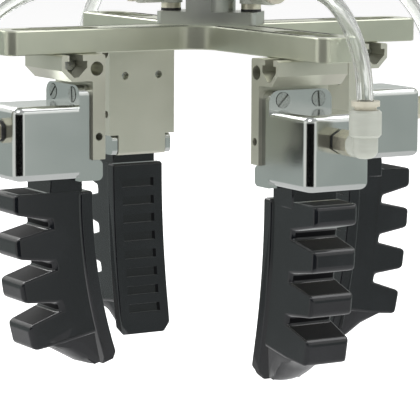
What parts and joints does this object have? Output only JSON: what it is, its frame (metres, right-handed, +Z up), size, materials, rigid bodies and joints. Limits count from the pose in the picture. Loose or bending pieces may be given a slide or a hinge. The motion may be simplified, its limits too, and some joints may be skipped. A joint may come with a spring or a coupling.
{
  "type": "soft finger gripper",
  "caption": "Cross-shaped robot gripper: curved hollow bellows fingers on sliding brackets under slotted arms, fed by hoses from a central hub.",
  "frame": {"origin": "centre of the hub's robot flange face, where the robot's tool flange meets it", "axes": "+Z points up into the robot; the four arms lie along +X, -X, +Y and -Y; the fingers hang towards -Z"},
  "size_m": [0.2234, 0.2234, 0.1773],
  "materials": {
    "anodised_plate": "fine bead-blasted anodised, champagne grey",
    "hub_metal": "bead-blasted anodised",
    "bracket_metal": "bead-blasted anodised, saw-cut ends",
    "housing_chrome": "satin chrome over a casting",
    "screw_steel": "bright zinc",
    "nut_steel": "bright zinc",
    "finger_rubber": "semi-gloss moulded elastomer",
    "seal_rubber": "black nitrile",
    "ring_plastic": "cream acetal",
    "fitting_nickel": "nickel-plated brass",
    "hose_plastic": "clear polyurethane",
    "fitting_plastic": "off-white moulded plastic"
  },
  "bodies": {
    "frame": {"cross_plate": "anodised_plate", "hub": "hub_metal", "hub_screws": "screw_steel", "hub_seals": "seal_rubber", "hub_a_stud": "fitting_nickel", "hub_a_elbow": "fitting_plastic", "hose_a": "hose_plastic", "hub_b_stud": "fitting_nickel", "hub_b_elbow": "fitting_plastic", "hose_b": "hose_plastic", "hub_c_stud": "fitting_nickel", "hub_c_straight": "fitting_plastic", "hose_c": "hose_plastic", "hub_d_stud": "fitting_nickel", "hub_d_straight": "fitting_plastic", "hose_d": "hose_plastic"},
    "carriage_a": {"bracket_a": "bracket_metal", "housing_a": "housing_chrome", "clamp_screws_a": "screw_steel", "slide_screw_a": "screw_steel", "slide_nut_a": "nut_steel", "stud_a": "fitting_nickel", "seal_a": "seal_rubber", "elbow_a": "fitting_plastic"},
    "finger_a": {"finger_a": "finger_rubber"},
    "release_ring_a": {"release_ring_a": "ring_plastic"},
    "hub_a_release_ring": {"hub_a_release_ring": "ring_plastic"},
    "carriage_b": {"bracket_b": "bracket_metal", "housing_b": "housing_chrome", "clamp_screws_b": "screw_steel", "slide_screw_b": "screw_steel", "slide_nut_b": "nut_steel", "stud_b": "fitting_nickel", "seal_b": "seal_rubber", "elbow_b": "fitting_plastic"},
    "finger_b": {"finger_b": "finger_rubber"},
    "release_ring_b": {"release_ring_b": "ring_plastic"},
    "hub_b_release_ring": {"hub_b_release_ring": "ring_plastic"},
    "carriage_c": {"bracket_c": "bracket_metal", "housing_c": "housing_chrome", "clamp_screws_c": "screw_steel", "slide_screw_c": "screw_steel", "slide_nut_c": "nut_steel", "stud_c": "fitting_nickel", "seal_c": "seal_rubber", "elbow_c": "fitting_plastic"},
    "finger_c": {"finger_c": "finger_rubber"},
    "release_ring_c": {"release_ring_c": "ring_plastic"},
    "hub_c_release_ring": {"hub_c_release_ring": "ring_plastic"},
    "carriage_d": {"bracket_d": "bracket_metal", "housing_d": "housing_chrome", "clamp_screws_d": "screw_steel", "slide_screw_d": "screw_steel", "slide_nut_d": "nut_steel", "stud_d": "fitting_nickel", "seal_d": "seal_rubber", "elbow_d": "fitting_plastic"},
    "finger_d": {"finger_d": "finger_rubber"},
    "release_ring_d": {"release_ring_d": "ring_plastic"},
    "hub_d_release_ring": {"hub_d_release_ring": "ring_plastic"}
  },
  "joints": [
    {"name": "slide_a", "type": "slide", "parent": "frame", "child": "carriage_a", "axis": [-1, 0, 0], "range_m": [-0.012, 0.014], "deforming": ["hose_a"]},
    {"name": "slide_b", "type": "slide", "parent": "frame", "child": "carriage_b", "axis": [0, -1, 0], "range_m": [-0.012, 0.014], "deforming": ["hose_b"]},
    {"name": "slide_c", "type": "slide", "parent": "frame", "child": "carriage_c", "axis": [1, 0, 0], "range_m": [-0.012, 0.014], "deforming": ["hose_c"]},
    {"name": "slide_d", "type": "slide", "parent": "frame", "child": "carriage_d", "axis": [0, 1, 0], "range_m": [-0.012, 0.014], "deforming": ["hose_d"]},
    {"name": "flex_a", "type": "hinge", "parent": "carriage_a", "child": "finger_a", "pos_m": [-0.0677, 0, -0.1035], "axis": [0, -1, 0], "range_deg": [-12, 18], "stiffness_Nm_per_rad": 0.6},
    {"name": "flex_b", "type": "hinge", "parent": "carriage_b", "child": "finger_b", "pos_m": [0, -0.0677, -0.1035], "axis": [1, 0, 0], "range_deg": [-12, 18], "stiffness_Nm_per_rad": 0.6},
    {"name": "flex_c", "type": "hinge", "parent": "carriage_c", "child": "finger_c", "pos_m": [0.0677, 0, -0.1035], "axis": [0, 1, 0], "range_deg": [-12, 18], "stiffness_Nm_per_rad": 0.6},
    {"name": "flex_d", "type": "hinge", "parent": "carriage_d", "child": "finger_d", "pos_m": [0, 0.0677, -0.1035], "axis": [-1, 0, 0], "range_deg": [-12, 18], "stiffness_Nm_per_rad": 0.6},
    {"name": "release_a", "type": "slide", "parent": "carriage_a", "child": "release_ring_a", "axis": [0, 0, -1], "range_m": [0, 0.001], "stiffness_N_per_m": 100, "springref_m": -0.002},
    {"name": "release_b", "type": "slide", "parent": "carriage_b", "child": "release_ring_b", "axis": [0, 0, -1], "range_m": [0, 0.001], "stiffness_N_per_m": 100, "springref_m": -0.002},
    {"name": "release_c", "type": "slide", "parent": "carriage_c", "child": "release_ring_c", "axis": [0, 0, -1], "range_m": [0, 0.001], "stiffness_N_per_m": 100, "springref_m": -0.002},
    {"name": "release_d", "type": "slide", "parent": "carriage_d", "child": "release_ring_d", "axis": [0, 0, -1], "range_m": [0, 0.001], "stiffness_N_per_m": 100, "springref_m": -0.002},
    {"name": "hub_release_a", "type": "slide", "parent": "frame", "child": "hub_a_release_ring", "axis": [1, 0, 0], "range_m": [0, 0.001], "stiffness_N_per_m": 100, "springref_m": -0.002},
    {"name": "hub_release_b", "type": "slide", "parent": "frame", "child": "hub_b_release_ring", "axis": [0, 1, 0], "range_m": [0, 0.001], "stiffness_N_per_m": 100, "springref_m": -0.002},
    {"name": "hub_release_c", "type": "slide", "parent": "frame", "child": "hub_c_release_ring", "axis": [-1, 0, 0], "range_m": [0, 0.001], "stiffness_N_per_m": 100, "springref_m": -0.002},
    {"name": "hub_release_d", "type": "slide", "parent": "frame", "child": "hub_d_release_ring", "axis": [0, -1, 0], "range_m": [0, 0.001], "stiffness_N_per_m": 100, "springref_m": -0.002}
  ],
  "couplings": [
    {"joint": "flex_b", "follows": "flex_a", "ratio": 1},
    {"joint": "flex_c", "follows": "flex_a", "ratio": 1},
    {"joint": "flex_d", "follows": "flex_a", "ratio": 1}
  ]
}
